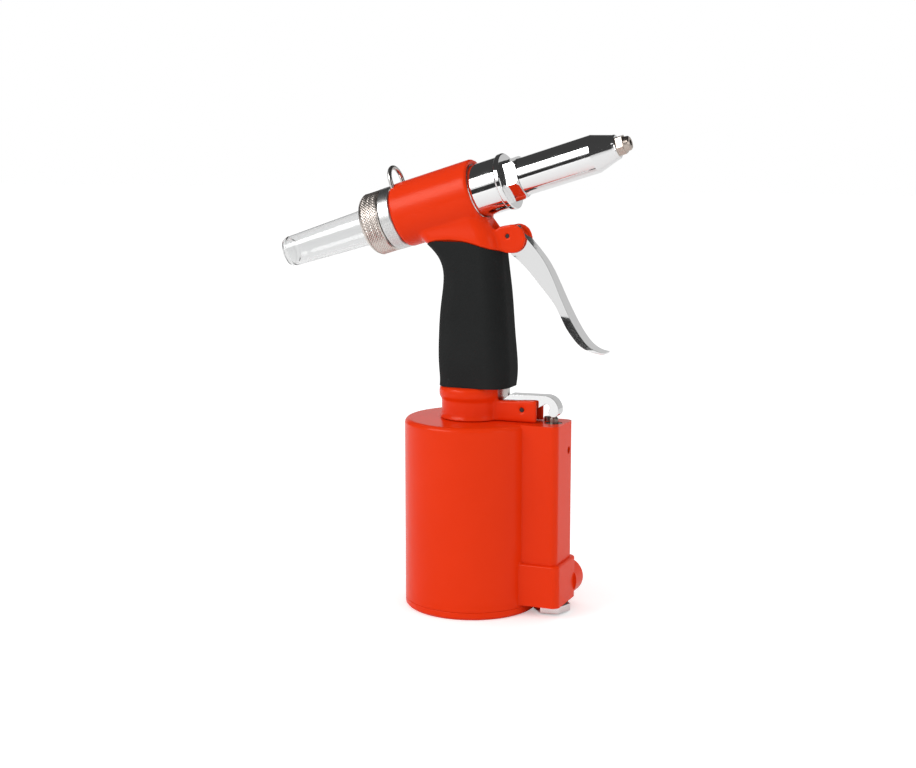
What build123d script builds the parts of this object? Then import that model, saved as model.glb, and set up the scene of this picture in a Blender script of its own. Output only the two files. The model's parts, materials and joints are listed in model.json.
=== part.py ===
from build123d import *
import math
import os

# A pneumatic-hydraulic blind rivet gun, in millimetres.
# The origin is the centre of the base's bottom face, +Z is up along the handle, and the nose points to +X.

os.makedirs("parts", exist_ok=True)

# Fits and small edges
press_gap = 0.01
running_gap = 0.05
link_slack = 0.3
slot_gap = 0.6
seam_gap = 0.15
edge_break = 0.6
through = 20.0

# Air cylinder and its base cap
cylinder_radius = 42.5
cylinder_wall = 3.0
cylinder_top = 120.3
cylinder_roof = 6.0
cylinder_shoulder_fillet = 3.0
cap_rim_height = 5.0
cap_spigot_height = 7.0
cap_dish_depth = 5.0
cap_dish_rim = 6.0
cap_chamfer = 1.5
cap_key_radius = 3.0
cap_key_depth = 3.0
cap_key_inset = 14.0
cap_groove_rise = 2.0
cap_groove_width = 2.6
cap_groove_depth = 2.0

# Valve chest beside the cylinder
chest_reach = 19.6
chest_half_width = 15.4
chest_corner = 4.5
chest_block_bottom = 7.0
chest_block_height = 26.5
chest_block_step = 2.2
chest_block_fillet = 1.4
valve_reach = 12.0
valve_bore_radius = 5.5
inlet_chamber_radius = 7.5
inlet_chamber_top = 30.0
inlet_height = 17.0
inlet_boss_radius = 11.5
inlet_boss_length = 12.1
inlet_boss_fillet = 1.6
inlet_thread_radius = 5.9
inlet_thread_depth = 12.0
inlet_passage_radius = 4.0
strainer_thickness = 1.2
strainer_hole_radius = 0.7
strainer_pitch = 1.9
feed_width = 2.4
feed_low = 13.0
feed_high = 34.0
vent_drop = 17.8
vent_offset = 7.0
vent_radius = 2.3

# Valve train
plug_head_bottom = 0.9
plug_flats = 20.4
plug_socket_radius = 3.2
plug_socket_depth = 1.5
plug_gap = 1.0
plug_reach = 4.5
valve_sleeve_foot = 40.0
valve_sleeve_drop = 8.3
valve_land_drop = 22.3
sleeve_collar_inset = 0.2
stem_radius = 3.0
stem_waist_radius = 1.9
stem_foot = 22.5
stem_gap = 0.15
poppet_under = 26.0
poppet_top = 29.5
poppet_radius = 6.3
poppet_seal_thickness = 1.2
valve_spring_radius = 3.6
valve_spring_wire = 0.5
screw_offset = (-6.4, 6.9)
screw_radius = 1.2
screw_head_radius = 2.2
screw_head_height = 2.6
screw_length = 8.0

# Handle, its neck and the rubber sleeve
neck_height = 20.7
neck_radius = 19.2
neck_lip_rise = 13.4
neck_lip_step = 1.5
sleeve_thickness = 2.2
sleeve_seam = 0.08
spigot_radius = 15.0
ring_nut_radius = 21.0
ring_nut_height = 6.0
ring_nut_notch = (5.0, 4.0)
handle_length = 119.24
grip_half_width = 17.0
grip_outline = [  # height above the sleeve's foot, rear, front, change of half width, corner radius
    (0.0, -19.2, 27.0, -0.2, 11.8),
    (9.0, -19.3, 27.9, 0.0, 12.0),
    (24.0, -19.9, 27.1, 0.0, 12.2),
    (44.0, -19.1, 25.5, -0.5, 12.0),
    (64.0, -16.8, 23.7, -1.0, 11.6),
    (75.0, -18.0, 22.4, -1.4, 11.6),
    (82.5, -22.6, 21.6, -1.4, 12.0),
    (90.0, -31.0, 20.6, -1.4, 12.6),
    (105.24, -35.0, 11.0, -2.0, 12.0),
]
sleeve_top_edge = [  # along X, and height above the sleeve's foot
    (-44.0, 78.0), (-31.0, 85.6), (-22.0, 89.2), (-11.0, 90.8), (0.0, 90.0), (12.0, 87.0), (23.0, 83.8),
    (32.0, 81.6)]

# Hydraulic head
head_tilt = 17.03
barrel_radius = 20.4
barrel_wall = 3.4
barrel_rear = -48.9
barrel_front = 5.2
end_cap_length = 8.5
bottle_ring_length = 14.9
bottle_front_radius = 11.6
bottle_end_radius = 9.8
bottle_length = 64.0
bottle_wall = 1.5
bottle_floor = 3.2
bottle_seat = 9.6
bottle_lip = 2.0
gland_step = 3.9
gland_front = 23.0
gland_rear = -3.0
washer_step = 1.2
washer_thickness = 3.5
lock_nut_step = 0.4
lock_nut_length = 9.0
nose_radius = 11.6
nose_wall = 2.6
nose_rear = 12.4
nose_straight_end = 83.5
nose_cone_end = 97.6
nose_cone_radius = 7.4
nose_thread_radius = 5.0
nosepiece_flats = 10.6
nosepiece_hex_length = 4.2
nosepiece_end = 105.5
nosepiece_root = 84.5
mandrel_radius = 1.8
guide_tube_gap = 0.3
guide_tube_wall = 0.8

hanger_wire = 1.35
hanger_half = 8.6
hanger_rise = 11.6
hanger_seat_depth = 3.5
hanger_inset = 1.3

# Pulling unit in the head
head_piston_length = 12.0
head_piston_front = -6.0
rod_clearance = 1.0
rod_wall = 2.5
jaw_case_rear = 40.0
jaw_case_front = 83.5
jaw_cone_rear = 68.0
jaw_mouth_radius = 3.9
jaw_thread_step = 1.5
jaw_thread_length = 8.0
pusher_rear = 58.0
pusher_flange = 62.0
pusher_front = 67.4
jaws_front = 80.2
jaw_gap = 0.3
jaw_case_gap = 0.1
return_spring_radius = 11.0
return_spring_wire = 1.1
jaw_spring_wire = 0.55
jaw_spring_gap = 0.45
pusher_spring_gap = 0.75

# Oil ram and air piston
ram_radius = 7.0
ram_neck_step = 1.5
ram_bore_step = 0.6
ram_gland_radius = 10.5
ram_gland_rise = 5.7
ram_tip_rise = 4.0
ram_bore_drop = 30.24
oil_port_radius = 2.2
oil_port_x = -4.5
air_piston_bottom = 16.5
air_piston_height = 13.0
air_piston_web = 3.0
air_piston_rim = 5.0
piston_groove_width = 4.0
piston_groove_depth = 3.0
piston_nut_flats = 19.0
piston_nut_height = 5.2

# Trigger, pull rod and rocker
trigger_pivot_x = 25.8
trigger_drop = 5.04
trigger_swing = 18.0
trigger_arm = 8.3
trigger_arm_radius = 3.0
trigger_sheet = 1.6
trigger_hub_radius = 6.2
trigger_hub_half_width = 4.5
trigger_half_width = 6.2
trigger_tip_drop = 72.0
trigger_shoulder_drop = 11.5
trigger_shoulder_length = 34.0
fork_radius = 8.9
fork_offset = (2.8, -1.6)
fork_wall = 2.3
fork_slot_gap = 0.4
pivot_pin_radius = 1.5
link_pin_radius = 1.25
pin_inset = 0.7
pin_chamfer = 0.3
rod_reach = 3.4
pull_rod_radius = 1.7
pull_rod_eye_radius = 3.0
pull_rod_thickness = 3.6
pull_rod_blade = 22.0
rocker_pin_inset = 6.5
rocker_pin_rise = 7.8
rocker_half_width = 4.2
rocker_sheet = 1.5
rocker_foot_lead = 1.1
rocker_foot_radius = 3.5
rocker_rise = 8.9
rocker_bend = 9.0
trigger_front = [  # from the pivot, down the trigger's front face to its tip
    (4.5, 6.4), (11.2, -0.7), (18.3, -8.3), (24.6, -16.6), (31.2, -29.4), (38.4, -44.4), (46.2, -57.6),
    (53.0, -65.2), (62.6, -68.6)]
trigger_back = [  # back from the tip to the pivot
    (62.2, -69.8), (52.0, -67.8), (46.8, -64.8), (42.4, -60.2), (38.5, -55.0), (35.3, -49.1), (31.4, -42.0),
    (22.4, -31.0), (10.0, -17.6), (1.6, -11.2)]
bracket_reach = 3.0
bracket_rise = 14.1
bracket_wall = 2.8
bracket_root = 10.0

# Values that follow from those above
cylinder_bore = cylinder_radius - cylinder_wall
roof_bottom = cylinder_top - cylinder_roof
chest_front = cylinder_radius + chest_reach
chest_block_top = chest_block_bottom + chest_block_height
valve_x = cylinder_radius + valve_reach
inlet_boss_end = chest_half_width + inlet_boss_length
handle_bottom = cylinder_top + press_gap
sleeve_bottom = cylinder_top + neck_height
head_height = sleeve_bottom + handle_length
barrel_bore = barrel_radius - barrel_wall
end_cap_radius = barrel_radius - 0.4
bottle_ring_radius = barrel_radius - 0.5
gland_radius = barrel_radius - gland_step
washer_radius = gland_radius + washer_step
lock_nut_flats = 2 * (nose_radius + lock_nut_step)
nose_bore = nose_radius - nose_wall
nose_thread_outer = nose_radius - edge_break
rod_radius = nose_bore - rod_clearance
rod_bore = rod_radius - rod_wall
guide_tube_radius = rod_bore - guide_tube_gap
jaw_thread = rod_radius - jaw_thread_step
jaw_spring_radius = jaw_thread - jaw_spring_gap - jaw_spring_wire
end_cap_rear = barrel_rear - end_cap_length
bottle_ring_rear = end_cap_rear - bottle_ring_length
washer_front = gland_front + washer_thickness
lock_nut_front = washer_front + lock_nut_length
piston_top = air_piston_bottom + air_piston_height
gland_bottom = roof_bottom - ring_nut_height - 2
ram_gland_top = cylinder_top + ram_gland_rise
trigger_pivot = (trigger_pivot_x, head_height - barrel_radius - trigger_drop)
fork_centre = (trigger_pivot[0] + fork_offset[0], trigger_pivot[1] + fork_offset[1])
fork_slot_half_width = trigger_hub_half_width + fork_slot_gap
fork_half_width = fork_slot_half_width + fork_wall
half_swing = math.radians(trigger_swing / 2)
rod_upper_x = trigger_pivot[0] - trigger_arm * math.cos(half_swing)
rod_upper_z = trigger_pivot[1] - trigger_arm * math.sin(half_swing)
rod_travel = 2 * trigger_arm * math.sin(half_swing)
rod_lower_x = neck_radius + rod_reach
rocker_pin = (cylinder_radius - rocker_pin_inset, cylinder_top + rocker_pin_rise)
rod_lower_z = rocker_pin[1] - rod_travel / 2
rocker_foot_x = valve_x + rocker_foot_lead
rocker_foot_z = rocker_pin[1] - stem_gap
stem_top = rocker_foot_z - rocker_foot_radius
bracket_slot_half_width = rocker_half_width + slot_gap
bracket_half_width = bracket_slot_half_width + bracket_wall

tilt = math.radians(head_tilt)
head_point = (0, 0, head_height)
head_along = (math.cos(tilt), 0, math.sin(tilt))
head_side = Plane(origin=head_point, x_dir=head_along, z_dir=(0, -1, 0))
head_axis = Axis(head_point, head_along)
side = Plane.XZ


# Shapes that several pieces use
def turn(profile, plane, axis, mode=Mode.ADD):
    """Turn a closed outline, drawn on a plane, about an axis."""
    with BuildSketch(plane) as outline:
        with BuildLine():
            Polyline(*profile, close=True)
        make_face()
    revolve(outline.sketch, axis=axis, mode=mode)


def head_round(start, end, outer, inner=0.0, mode=Mode.ADD):
    """A round piece along the head's axis, from one station to another."""
    turn([(start, inner), (end, inner), (end, outer), (start, outer)], head_side, head_axis, mode)


def upright_round(bottom, top, outer, inner=0.0, x=0.0, mode=Mode.ADD):
    """A round piece along a vertical axis at a given x."""
    corners = [(x + inner, bottom), (x + outer, bottom), (x + outer, top), (x + inner, top)]
    turn(corners, side, Axis((x, 0, 0), (0, 0, 1)), mode)


def cross_round(x, z, radius, half_length, mode=Mode.ADD):
    """A round piece along Y, as long on one side of the middle plane as on the other."""
    with BuildSketch(side) as disc:
        with Locations((x, z)):
            Circle(radius)
    extrude(disc.sketch, amount=half_length, both=True, mode=mode)


def side_plate(points, half_width, mode=Mode.ADD):
    """A plate with a straight-sided outline, seen from the side."""
    with BuildSketch(side) as outline:
        with BuildLine():
            Polyline(*points, close=True)
        make_face()
    extrude(outline.sketch, amount=half_width, both=True, mode=mode)


def seal_ring(section_centre, plane, axis, half_length, half_depth):
    """A seal of rounded rectangular section, turned about an axis."""
    with BuildSketch(plane) as section:
        with Locations(section_centre):
            RectangleRounded(2 * half_length, 2 * half_depth, 0.8 * min(half_length, half_depth))
    revolve(section.sketch, axis=axis)


def grip_loft(inset, sections=grip_outline, mode=Mode.ADD):
    """The handle's shape, drawn in by an inset all round."""
    faces = []
    for rise, rear, front, wider, corner in sections:
        with BuildSketch(Plane.XY.offset(sleeve_bottom + rise)) as section:
            with Locations(((rear + front) / 2, 0)):
                half_width = grip_half_width + wider - inset
                RectangleRounded(front - rear - 2 * inset, 2 * half_width, corner - inset)
        faces.append(section.sketch.faces()[0])
    loft(faces, mode=mode)


def above_sleeve(lift, mode):
    """The space above the sleeve's curved top edge."""
    sky = head_height + 4 * barrel_radius
    with BuildSketch(side) as region:
        with BuildLine():
            edge = Spline(*[(x, sleeve_bottom + rise + lift) for x, rise in sleeve_top_edge])
            front_corner = (4 * barrel_radius, (edge @ 1).Y)
            rear_corner = (-4 * barrel_radius, (edge @ 0).Y)
            Polyline(edge @ 1, front_corner, (4 * barrel_radius, sky), (-4 * barrel_radius, sky), rear_corner,
                     edge @ 0)
        make_face()
    extrude(region.sketch, amount=2 * through, both=True, mode=mode)


def spring(foot, direction, length, coil_radius, wire_radius, turns):
    """A compression spring that starts at a point and runs along a direction."""
    start = Vector(foot) + Vector(direction) * wire_radius
    height = length - 2 * wire_radius
    with BuildLine() as coil:
        Helix(pitch=height / turns, height=height, radius=coil_radius, center=start, direction=direction)
    with BuildSketch(Plane(origin=coil.line @ 0, z_dir=coil.line % 0)) as wire:
        Circle(wire_radius)
    sweep(wire.sketch, path=coil.line)


def head_station(station):
    """The point on the head's axis at a station."""
    return head_axis.position + head_axis.direction * station


def trigger_plan(inset):
    """The trigger's outline seen along X, narrow in the fork and wider below it, drawn in by an inset."""
    hub = trigger_hub_half_width - inset
    full = trigger_half_width - inset
    top = trigger_pivot[1] + 2 * fork_radius
    shoulder = trigger_pivot[1] - trigger_shoulder_drop
    tip = trigger_pivot[1] - trigger_tip_drop
    return [(-hub, top), (hub, top), (hub, shoulder), (full, shoulder - trigger_shoulder_length), (full, tip),
            (-full, tip), (-full, shoulder - trigger_shoulder_length), (-hub, shoulder)]


def rod_slot(half_width, rear, front_top, front_foot):
    """The leaning slot that the pull rod runs in, down from the trigger's arm to the handle's foot."""
    lean = (rod_lower_x - rod_upper_x) / (rod_upper_z - rod_lower_z)
    foot = rear + lean * (rod_upper_z - handle_bottom)
    side_plate([(rear, rod_upper_z + 2), (foot, handle_bottom), (front_foot, handle_bottom),
                (front_top, rod_upper_z + 2)], half_width, Mode.SUBTRACT)


# Base cap: a disc with a spigot that screws into the cylinder
with BuildPart() as base_cap:
    spigot = cylinder_bore - running_gap
    spigot_top = cap_rim_height + cap_spigot_height
    groove_bottom = cap_rim_height + cap_groove_rise
    groove_top = groove_bottom + cap_groove_width
    dish_floor = spigot_top - cap_dish_depth
    turn([(0, 0), (cylinder_radius - cap_chamfer, 0), (cylinder_radius, cap_chamfer),
          (cylinder_radius, cap_rim_height), (spigot, cap_rim_height), (spigot, groove_bottom),
          (spigot - cap_groove_depth, groove_bottom), (spigot - cap_groove_depth, groove_top),
          (spigot, groove_top), (spigot, spigot_top), (spigot - cap_dish_rim, spigot_top),
          (spigot - cap_dish_rim - cap_groove_depth, dish_floor), (0, dish_floor)], side, Axis.Z)
    with Locations(Plane.XY.rotated((180, 0, 0))):
        with PolarLocations(cylinder_radius - cap_key_inset, 2):
            Hole(radius=cap_key_radius, depth=cap_key_depth)
base_cap.part.label = "base_cap"
export_step(base_cap.part, "parts/base_cap.step")

with BuildPart() as cap_seal:
    groove_middle = (groove_bottom + groove_top) / 2
    seal_ring((cylinder_bore - cap_groove_depth / 2, groove_middle), side, Axis.Z, 0.95, 1.2)
cap_seal.part.label = "cap_seal"
export_step(cap_seal.part, "parts/cap_seal.step")

# Air cylinder, cast with its valve chest and inlet boss
with BuildPart() as air_cylinder:
    upright_round(cap_rim_height + seam_gap, cylinder_top, cylinder_radius)
    fillet(air_cylinder.edges().group_by(Axis.Z)[-1], radius=cylinder_shoulder_fillet)
    for bottom, top, proud in ((chest_block_top - 1, cylinder_top, 0),
                               (chest_block_bottom, chest_block_top, chest_block_step)):
        with BuildSketch(Plane.XY.offset(bottom)) as chest:
            with Locations(((chest_front + proud) / 2, 0)):
                RectangleRounded(chest_front + proud, 2 * (chest_half_width + proud), chest_corner)
        extrude(chest.sketch, amount=top - bottom)
    block_edges = air_cylinder.faces().filter_by(Axis.Z).filter_by(
        lambda face: abs(face.center().Z - chest_block_top) < chest_block_step / 10).edges()
    outer_block_edges = [edge for edge in block_edges
                         if abs(edge.center().Y) > chest_half_width + chest_block_step / 3
                         or edge.center().X > chest_front + chest_block_step / 3]
    fillet(outer_block_edges, radius=chest_block_fillet)
    boss_start = chest_half_width - 2
    boss_root = Plane(origin=(valve_x, boss_start, inlet_height), x_dir=(1, 0, 0), z_dir=(0, 1, 0))
    with BuildSketch(boss_root) as boss:
        Circle(inlet_boss_radius)
    extrude(boss.sketch, amount=inlet_boss_end - boss_start)
    fillet(air_cylinder.faces().sort_by(Axis.Y)[-1].edges(), radius=inlet_boss_fillet)
    # Bores
    upright_round(0, roof_bottom, cylinder_bore, mode=Mode.SUBTRACT)
    upright_round(roof_bottom - 1, cylinder_top + 1, spigot_radius, mode=Mode.SUBTRACT)
    upright_round(0, inlet_chamber_top, inlet_chamber_radius, x=valve_x, mode=Mode.SUBTRACT)
    upright_round(inlet_chamber_top - 1, cylinder_top + 1, valve_bore_radius, x=valve_x, mode=Mode.SUBTRACT)
    boss_mouth = Plane(origin=(valve_x, inlet_boss_end, inlet_height), x_dir=(1, 0, 0), z_dir=(0, 1, 0))
    with Locations(boss_mouth):
        CounterBoreHole(radius=inlet_passage_radius, counter_bore_radius=inlet_thread_radius,
                        counter_bore_depth=inlet_thread_depth, depth=inlet_boss_end)
    # Feed passage from above the poppet down to the space under the air piston
    feed_x = (cylinder_bore + valve_x - inlet_chamber_radius) / 2
    feed_rear = feed_x - feed_width / 2
    feed_front = feed_x + feed_width / 2
    inside = cylinder_bore - cylinder_wall
    for left, right, low, high in ((feed_rear, valve_x, feed_high, feed_high + feed_width),
                                   (feed_rear, feed_front, feed_low, feed_high + 1),
                                   (inside, feed_front, feed_low, feed_low + feed_width)):
        side_plate([(left, low), (right, low), (right, high), (left, high)], feed_width / 2, Mode.SUBTRACT)
    # Exhaust vent in the chest's front face
    vent_place = (chest_front, vent_offset, cylinder_top - vent_drop)
    with Locations(Plane(origin=vent_place, x_dir=(0, 1, 0), z_dir=(1, 0, 0))):
        Hole(radius=vent_radius, depth=chest_front - valve_x + vent_radius)
    # Tapped hole for the screw that keeps the valve sleeve in
    with Locations((valve_x + screw_offset[0], screw_offset[1], cylinder_top)):
        Hole(radius=screw_radius + running_gap, depth=screw_length + 1)
air_cylinder.part.label = "air_cylinder"
export_step(air_cylinder.part, "parts/air_cylinder.step")

# Valve train in the chest
plug_head_top = chest_block_bottom - plug_gap
plug_top = chest_block_bottom + plug_reach
with BuildPart() as chest_plug:
    upright_round(plug_head_top - plug_gap / 2, plug_top, inlet_chamber_radius - running_gap, x=valve_x)
    with BuildSketch(Plane.XY.offset(plug_head_bottom)) as hexagon:
        with Locations((valve_x, 0)):
            RegularPolygon(radius=plug_flats / 2, side_count=6, major_radius=False, rotation=12)
    extrude(hexagon.sketch, amount=plug_head_top - plug_head_bottom)
    chamfer(chest_plug.faces().sort_by(Axis.Z)[0].edges(), length=edge_break)
    upright_round(0, plug_head_bottom + plug_socket_depth, plug_socket_radius, x=valve_x, mode=Mode.SUBTRACT)
chest_plug.part.label = "chest_plug"
export_step(chest_plug.part, "parts/chest_plug.step")

with BuildPart() as plug_seal:
    upright_round(plug_head_top + press_gap, chest_block_bottom - press_gap, plug_flats / 2,
                  inlet_chamber_radius + 0.1, x=valve_x)
plug_seal.part.label = "plug_seal"
export_step(plug_seal.part, "parts/plug_seal.step")

with BuildPart() as inlet_strainer:
    thread_floor = (valve_x, inlet_boss_end - inlet_thread_depth - seam_gap, inlet_height)
    with BuildSketch(Plane(origin=thread_floor, x_dir=(1, 0, 0), z_dir=(0, -1, 0))) as disc:
        Circle(inlet_passage_radius - press_gap)
        with GridLocations(strainer_pitch, strainer_pitch, 3, 3):
            Circle(strainer_hole_radius, mode=Mode.SUBTRACT)
    extrude(disc.sketch, amount=strainer_thickness)
inlet_strainer.part.label = "inlet_strainer"
export_step(inlet_strainer.part, "parts/inlet_strainer.step")

valve_sleeve_top = cylinder_top - valve_sleeve_drop
valve_land = cylinder_top - valve_land_drop
with BuildPart() as valve_sleeve:
    upright_round(valve_sleeve_foot, valve_sleeve_top, valve_bore_radius - press_gap,
                  stem_radius + running_gap, x=valve_x)
    upright_round(valve_sleeve_foot - 1, valve_land, stem_radius + 1.2, x=valve_x, mode=Mode.SUBTRACT)
    with Locations(Plane(origin=(valve_x, 0, valve_land - 2), x_dir=(0, 1, 0), z_dir=(1, 0, 0))):
        Hole(radius=1.6)
valve_sleeve.part.label = "valve_sleeve"
export_step(valve_sleeve.part, "parts/valve_sleeve.step")

with BuildPart() as sleeve_collar:
    upright_round(valve_sleeve_top + press_gap, cylinder_top - sleeve_collar_inset,
                  valve_bore_radius - press_gap, stem_radius + running_gap, x=valve_x)
sleeve_collar.part.label = "sleeve_collar"
export_step(sleeve_collar.part, "parts/sleeve_collar.step")

with BuildPart() as valve_stem:
    tail = stem_waist_radius + valve_spring_wire / 2
    seal_floor = poppet_top - poppet_seal_thickness
    turn([(valve_x, stem_foot), (valve_x + tail, stem_foot), (valve_x + tail, poppet_under),
          (valve_x + poppet_radius, poppet_under), (valve_x + poppet_radius, seal_floor),
          (valve_x + stem_waist_radius, seal_floor), (valve_x + stem_waist_radius, valve_land),
          (valve_x + stem_radius, valve_land + 1.5), (valve_x + stem_radius, stem_top - 1.5),
          (valve_x + 2, stem_top), (valve_x, stem_top)], side, Axis((valve_x, 0, 0), (0, 0, 1)))
valve_stem.part.label = "valve_stem"
export_step(valve_stem.part, "parts/valve_stem.step")

with BuildPart() as poppet_seal:
    upright_round(seal_floor + press_gap, poppet_top, poppet_radius - 0.1, stem_waist_radius + 2 * press_gap,
                  x=valve_x)
poppet_seal.part.label = "poppet_seal"
export_step(poppet_seal.part, "parts/poppet_seal.step")

with BuildPart() as valve_spring:
    spring((valve_x, 0, plug_top + 0.1), (0, 0, 1), poppet_under - plug_top - 0.2, valve_spring_radius,
           valve_spring_wire, 5)
valve_spring.part.label = "valve_spring"
export_step(valve_spring.part, "parts/valve_spring.step")

with BuildPart() as sleeve_screw:
    with Locations((valve_x + screw_offset[0], screw_offset[1], cylinder_top + press_gap)):
        Cylinder(screw_head_radius, screw_head_height, align=(Align.CENTER, Align.CENTER, Align.MIN))
        Cylinder(screw_radius, screw_length, align=(Align.CENTER, Align.CENTER, Align.MAX))
        with Locations((0, 0, screw_head_height)):
            Box(3 * screw_head_radius, edge_break, screw_head_height, mode=Mode.SUBTRACT)
    fillet(sleeve_screw.edges().filter_by(GeomType.CIRCLE).group_by(Axis.Z)[-1], radius=edge_break / 2)
sleeve_screw.part.label = "sleeve_screw"
export_step(sleeve_screw.part, "parts/sleeve_screw.step")

# Air piston, ram and their seals
with BuildPart() as air_piston:
    wall = cylinder_bore - running_gap
    groove = wall - piston_groove_depth
    middle = air_piston_bottom + air_piston_height / 2
    groove_low = middle - piston_groove_width / 2
    groove_high = middle + piston_groove_width / 2
    bore = ram_radius - ram_neck_step
    foot = air_piston_bottom + air_piston_web
    web_top = piston_top - air_piston_web - 1
    rim = wall - air_piston_rim
    turn([(bore, foot), (2.5 * ram_radius, foot), (2.8 * ram_radius, air_piston_bottom),
          (wall - 1, air_piston_bottom), (wall, air_piston_bottom + 1), (wall, groove_low),
          (groove, groove_low), (groove, groove_high), (wall, groove_high), (wall, piston_top - 1),
          (wall - 1, piston_top), (rim, piston_top), (rim - 2, web_top), (2 * ram_radius, web_top),
          (1.7 * ram_radius, piston_top), (bore, piston_top)], side, Axis.Z)
air_piston.part.label = "air_piston"
export_step(air_piston.part, "parts/air_piston.step")

with BuildPart() as air_piston_seal:
    seal_ring((cylinder_bore - piston_groove_depth / 2, middle), side, Axis.Z, 1.45, 1.9)
air_piston_seal.part.label = "air_piston_seal"
export_step(air_piston_seal.part, "parts/air_piston_seal.step")

with BuildPart() as ram_rod:
    stud = bore - press_gap
    ram_tip = ram_gland_top + ram_tip_rise
    turn([(0, air_piston_bottom - air_piston_web), (stud, air_piston_bottom - air_piston_web),
          (stud, piston_top + press_gap), (ram_radius, piston_top + press_gap),
          (ram_radius, ram_tip - ram_neck_step), (ram_radius - ram_neck_step, ram_tip), (0, ram_tip)],
         side, Axis.Z)
ram_rod.part.label = "ram_rod"
export_step(ram_rod.part, "parts/ram_rod.step")

with BuildPart() as piston_nut:
    with BuildSketch(Plane.XY.offset(foot - piston_nut_height)):
        RegularPolygon(radius=piston_nut_flats / 2, side_count=6, major_radius=False)
        Circle(bore, mode=Mode.SUBTRACT)
    extrude(amount=piston_nut_height - press_gap)
piston_nut.part.label = "piston_nut"
export_step(piston_nut.part, "parts/piston_nut.step")

# Handle casting: neck, grip core, trigger fork, bracket and head barrel
with BuildPart() as handle_casting:
    # Outer skin above the sleeve's edge, down to the trigger fork
    grip_loft(0.0)
    fork_rear = head_height - barrel_radius
    side_plate([(4, fork_rear - 17.8), (26, fork_rear - 17.8), (fork_centre[0], fork_centre[1] + fork_radius),
                (21, fork_rear + 1), (17.5, fork_rear - 1.2), (4, fork_rear)], fork_half_width)
    cross_round(*fork_centre, fork_radius, fork_half_width)
    above_sleeve(sleeve_seam, Mode.INTERSECT)
    # Grip core under the sleeve, the neck and its lip
    grip_loft(sleeve_thickness + sleeve_seam, grip_outline[:-1])
    lip_bottom = cylinder_top + neck_lip_rise
    lip_radius = neck_radius + neck_lip_step
    turn([(0, handle_bottom), (neck_radius + 3, handle_bottom), (neck_radius + 1, handle_bottom + 0.8),
          (neck_radius, handle_bottom + 2.6), (neck_radius, lip_bottom - 1), (lip_radius - 0.6, lip_bottom),
          (lip_radius, lip_bottom + 0.8), (lip_radius, sleeve_bottom - 1.6),
          (lip_radius - 0.8, sleeve_bottom - 0.4), (lip_radius - 1.6, sleeve_bottom), (0, sleeve_bottom)],
         side, Axis.Z)
    bracket_front = cylinder_radius + bracket_reach
    bracket_top = cylinder_top + bracket_rise
    side_plate([(bracket_root, handle_bottom), (bracket_front, handle_bottom), (bracket_front, bracket_top),
                (neck_radius + 2, bracket_top - 1.2), (bracket_root, bracket_top - 1.2)], bracket_half_width)
    # Slots for the trigger's arm, the pull rod and the rocker
    slot_top = head_height
    arm_slot_rear = rod_upper_x - trigger_arm_radius - 1.8
    side_plate([(arm_slot_rear, trigger_pivot[1] - 10.8), (60, trigger_pivot[1] - 24.8), (60, slot_top),
                (arm_slot_rear, slot_top)], fork_slot_half_width, Mode.SUBTRACT)
    rod_slot_rear = rod_upper_x - pull_rod_eye_radius - 0.8
    rod_slot_half_width = pull_rod_thickness / 2 + slot_gap
    rod_slot(rod_slot_half_width, rod_slot_rear, 40, 40)
    rocker_slot_rear = rod_lower_x - pull_rod_eye_radius - 0.9
    side_plate([(rocker_slot_rear, handle_bottom), (chest_front + 20, handle_bottom),
                (chest_front + 20, sleeve_bottom - 0.1), (rocker_slot_rear, sleeve_bottom - 0.1)],
               bracket_slot_half_width, Mode.SUBTRACT)
    # Head barrel and the spigot that passes through the cylinder's roof
    head_round(barrel_rear, barrel_front, barrel_radius)
    upright_round(gland_bottom, handle_bottom, spigot_radius - press_gap)
    # Bores for the oil, the head piston and the ram's gland
    head_round(barrel_rear - 1, barrel_front + 1, barrel_bore, mode=Mode.SUBTRACT)
    head_round(barrel_front, gland_front, gland_radius + link_slack, mode=Mode.SUBTRACT)
    ram_bore_top = head_height - barrel_bore - ram_bore_drop
    upright_round(gland_bottom - 1, ram_gland_top, ram_gland_radius, mode=Mode.SUBTRACT)
    upright_round(ram_gland_top - 1, ram_bore_top, ram_radius + ram_bore_step, mode=Mode.SUBTRACT)
    upright_round(ram_bore_top - 1, head_height - barrel_bore / 2, oil_port_radius, x=oil_port_x,
                  mode=Mode.SUBTRACT)
    cross_round(*trigger_pivot, pivot_pin_radius + press_gap, through, Mode.SUBTRACT)
    cross_round(*rocker_pin, pivot_pin_radius + press_gap, through, Mode.SUBTRACT)
    hanger_station = barrel_rear + hanger_inset
    hanger_top = barrel_radius + hanger_rise
    hanger_seat = barrel_radius - hanger_seat_depth
    above_barrel = Plane(origin=head_station(hanger_station), x_dir=(0, 1, 0), z_dir=head_side.y_dir)
    with Locations(above_barrel):
        with Locations((-hanger_half, 0, hanger_top), (hanger_half, 0, hanger_top)):
            Hole(radius=hanger_wire + press_gap, depth=hanger_top - hanger_seat)
handle_casting.part.label = "handle_casting"
export_step(handle_casting.part, "parts/handle_casting.step")

with BuildPart() as grip_sleeve:
    grip_loft(0.0, grip_outline[:-1])
    above_sleeve(0.0, Mode.SUBTRACT)
    grip_loft(sleeve_thickness, grip_outline[:-1], Mode.SUBTRACT)
    head_round(barrel_rear, barrel_front, barrel_radius + link_slack, mode=Mode.SUBTRACT)
    rod_slot(rod_slot_half_width, rod_slot_rear, rod_upper_x + 3.1, rod_lower_x + 4.2)
grip_sleeve.part.label = "grip_sleeve"
export_step(grip_sleeve.part, "parts/grip_sleeve.step")

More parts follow.
